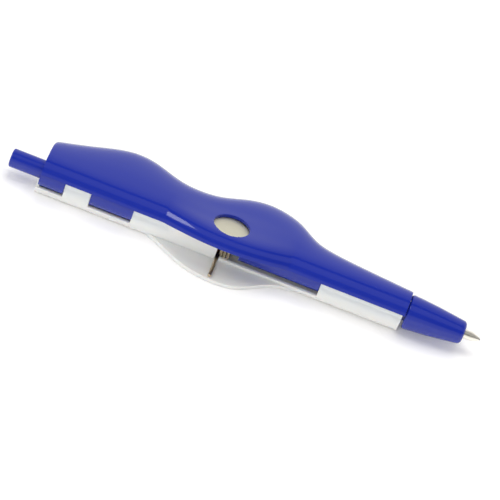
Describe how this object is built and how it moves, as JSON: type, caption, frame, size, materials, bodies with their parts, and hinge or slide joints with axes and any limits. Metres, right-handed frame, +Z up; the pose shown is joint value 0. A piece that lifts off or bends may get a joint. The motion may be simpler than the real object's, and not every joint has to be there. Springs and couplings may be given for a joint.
{
  "type": "clip ballpoint pen",
  "caption": "Retractable ballpoint pen whose barrel is two sprung jaws hinged along the pen's axis, with thumb pads to open the clip.",
  "frame": {"origin": "on the flat underside, straight below the pen's axis at the middle of the thumb pads", "axes": "+X along the pen to the writing tip, +Y to the lips of the jaws, +Z up"},
  "size_m": [0.1469, 0.0324, 0.0142],
  "materials": {
    "blue_moulding": "glossy moulded polystyrene",
    "white_moulding": "satin moulded polystyrene",
    "blue_tube": "moulded",
    "spring_wire": "drawn spring wire",
    "disc_metal": "nickel plated, satin",
    "natural_acetal": "moulded",
    "refill_plastic": "extruded, translucent",
    "ink": "paste ink",
    "tip_metal": "turned nickel silver",
    "ball_metal": "polished tungsten carbide"
  },
  "bodies": {
    "lower": {"lower_jaw": "white_moulding", "barrel_tube": "blue_tube", "cam_guide": "natural_acetal", "torsion_spring": "spring_wire", "return_spring": "spring_wire"},
    "upper": {"upper_jaw": "blue_moulding", "pad_disc": "disc_metal"},
    "button": {"push_button": "blue_moulding"},
    "cam": {"cam_rotor": "natural_acetal"},
    "refill": {"refill_tube": "refill_plastic", "ink_column": "ink", "refill_tip": "tip_metal", "writing_ball": "ball_metal"},
    "nose": {"nose_cone": "blue_moulding"}
  },
  "joints": [
    {"name": "clip_open", "type": "hinge", "parent": "lower", "child": "upper", "pos_m": [0, 0, 0.0059], "axis": [1, 0, 0], "range_deg": [0, 30], "stiffness_Nm_per_rad": 0.1, "springref_deg": -28.65, "deforming": ["torsion_spring"]},
    {"name": "button_push", "type": "slide", "parent": "lower", "child": "button", "axis": [1, 0, 0], "range_m": [-0.0055, 0.0012]},
    {"name": "cam_slide", "type": "slide", "parent": "lower", "child": "cam", "axis": [1, 0, 0], "range_m": [-0.0055, 0.0012]},
    {"name": "refill_slide", "type": "slide", "parent": "lower", "child": "refill", "axis": [1, 0, 0], "range_m": [-0.0055, 0.0012], "deforming": ["return_spring"]},
    {"name": "nose_unscrew", "type": "slide", "parent": "lower", "child": "nose", "axis": [1, 0, 0], "range_m": [0, 0.005]}
  ],
  "couplings": [
    {"joint": "cam_slide", "follows": "button_push", "ratio": 1},
    {"joint": "refill_slide", "follows": "button_push", "ratio": 1}
  ]
}
